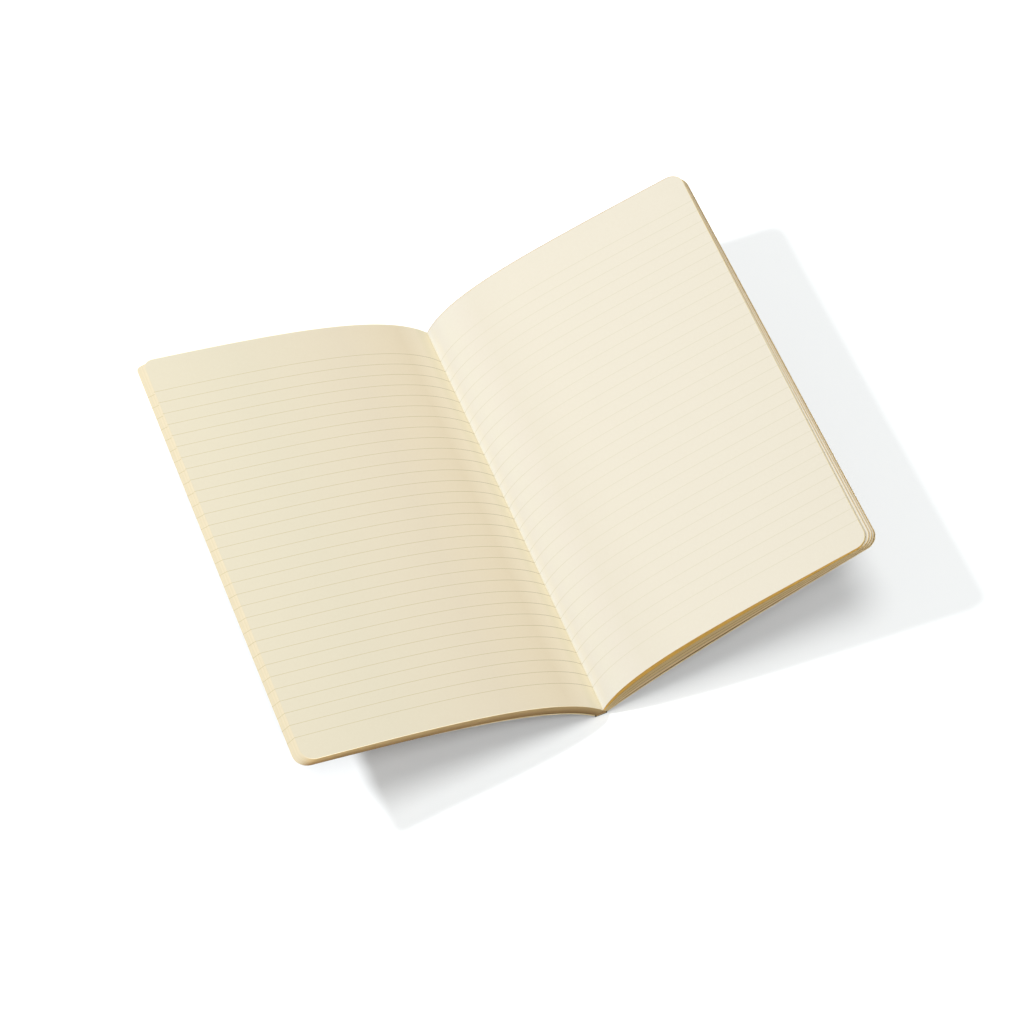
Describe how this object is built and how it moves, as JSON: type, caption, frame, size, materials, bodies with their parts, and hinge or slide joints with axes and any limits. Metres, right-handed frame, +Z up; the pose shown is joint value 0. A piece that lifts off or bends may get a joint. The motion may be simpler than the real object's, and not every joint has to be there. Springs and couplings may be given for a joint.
{
  "type": "open notebook",
  "caption": "Soft-cover ruled notebook lying open on its spine, cream leaves raised in a shallow V, thin card covers that fold back.",
  "frame": {"origin": "middle of the spine's flat underside, which the open notebook stands on", "axes": "+X across the open pages towards the right-hand page, +Y along the spine towards the head of the book, +Z up out of the fold"},
  "size_m": [0.257, 0.21, 0.0577],
  "materials": {
    "page_paper": "uncoated cream writing paper",
    "binding_glue": "hot-melt glue",
    "spine_card": "uncoated kraft card, folded",
    "cover_card": "uncoated kraft card"
  },
  "bodies": {
    "book_block": {"pages": "page_paper", "spine_glue": "binding_glue", "spine": "spine_card"},
    "front_cover": {"front_cover": "cover_card"},
    "back_cover": {"back_cover": "cover_card"}
  },
  "joints": [
    {"name": "front_cover_fold", "type": "hinge", "parent": "book_block", "child": "front_cover", "pos_m": [-0.0028, 0, 0.001], "axis": [0, -1, 0], "range_deg": [0, 100]},
    {"name": "back_cover_fold", "type": "hinge", "parent": "book_block", "child": "back_cover", "pos_m": [0.0028, 0, 0.001], "axis": [0, 1, 0], "range_deg": [0, 100]}
  ]
}
